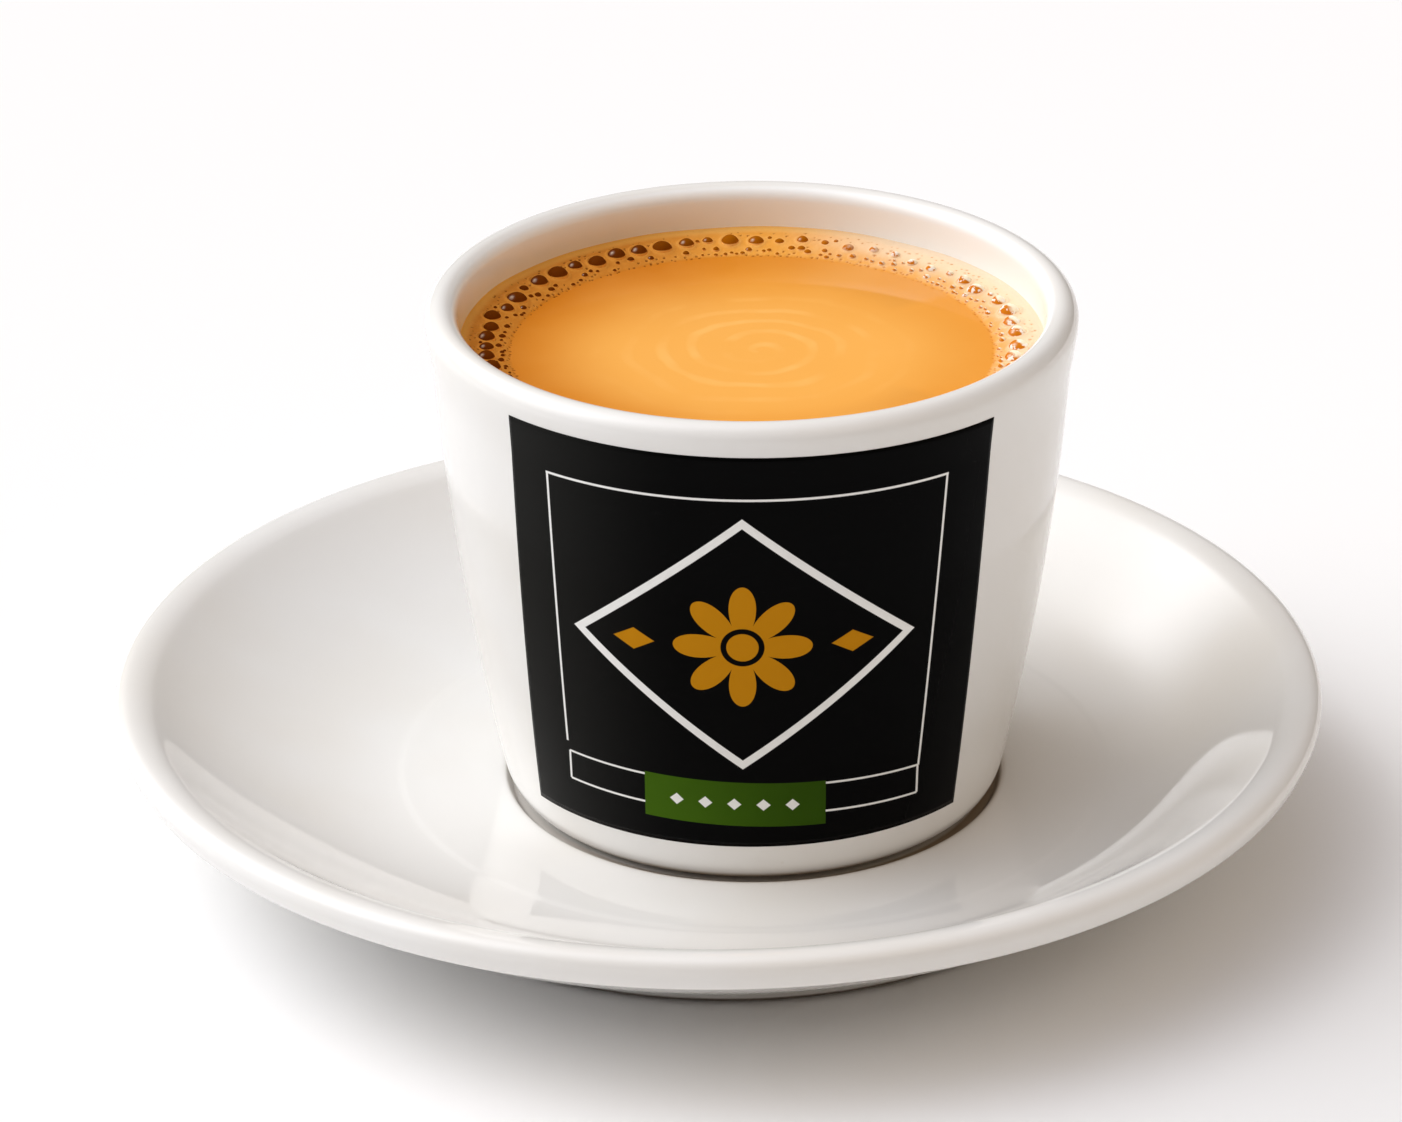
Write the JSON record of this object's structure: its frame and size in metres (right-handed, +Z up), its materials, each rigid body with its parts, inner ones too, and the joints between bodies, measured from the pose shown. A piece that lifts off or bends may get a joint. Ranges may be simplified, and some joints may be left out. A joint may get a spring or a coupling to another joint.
{
  "type": "masala chai in a handle-less cup on a saucer",
  "caption": "Milky spiced tea with a ring of froth, in a white glazed tapered cup without a handle, with a black printed panel, on a round white coupe saucer.",
  "frame": {"origin": "on the table under the middle of the saucer's rim", "axes": "+Z up; the printed panel faces -Y; the cup and its well stand 4.4 mm towards +X of the rim's middle"},
  "size_m": [0.15, 0.15, 0.0714],
  "materials": {
    "white_glaze": "glossy",
    "tea": "glossy",
    "print": "satin"
  },
  "bodies": {
    "root": {"saucer": "white_glaze", "cup": "white_glaze", "chai": "tea", "printed_panel": "print"}
  },
  "joints": []
}
